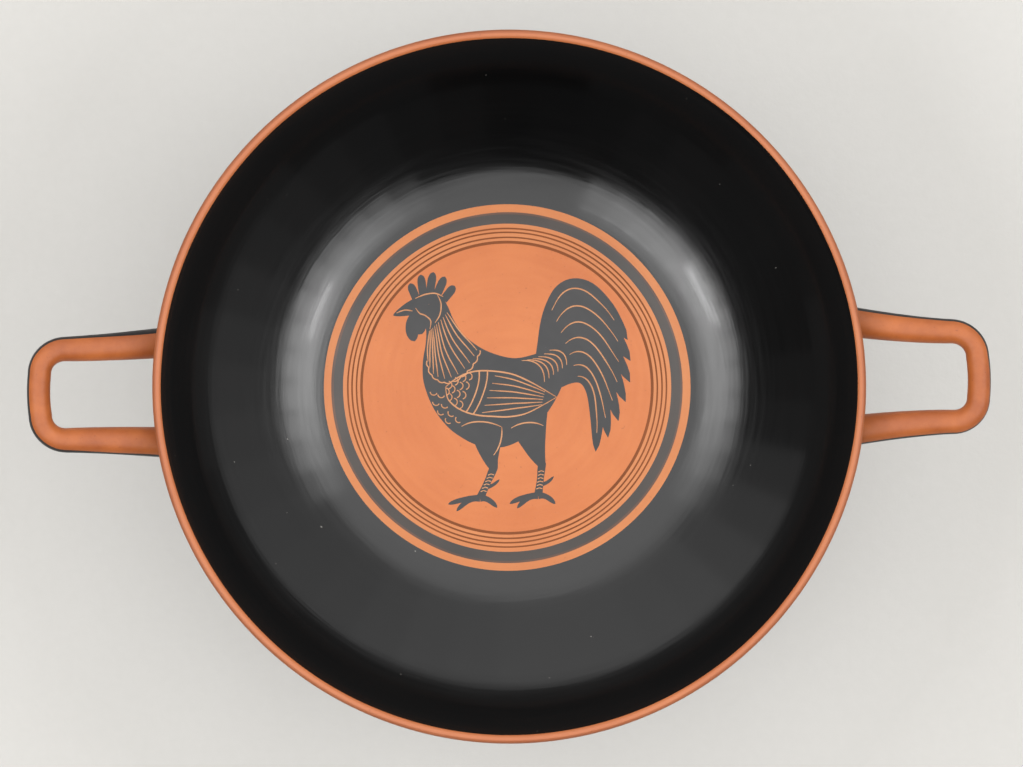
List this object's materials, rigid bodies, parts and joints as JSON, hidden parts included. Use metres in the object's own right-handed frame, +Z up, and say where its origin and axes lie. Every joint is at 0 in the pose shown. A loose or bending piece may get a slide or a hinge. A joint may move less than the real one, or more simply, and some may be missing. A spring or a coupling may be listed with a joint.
{
  "type": "kylix cup",
  "caption": "Wide, shallow drinking cup of black-glazed clay on a stemmed foot, with a looped handle rising at each side.",
  "frame": {"origin": "centre of the ring that the foot rests on, on the cup's axis", "axes": "+Z up along the cup's axis, +X towards the handle on the right as the picture is seen, +Y towards the top of the picture"},
  "size_m": [0.4067, 0.3, 0.125],
  "materials": {
    "black_glazed_clay": "glossy black slip over orange-red fired clay, which is left bare on the lip, the foot's edge, the tops of the handles and in the round picture on the bowl's floor"
  },
  "bodies": {
    "root": {"kylix_cup": "black_glazed_clay"}
  },
  "joints": []
}
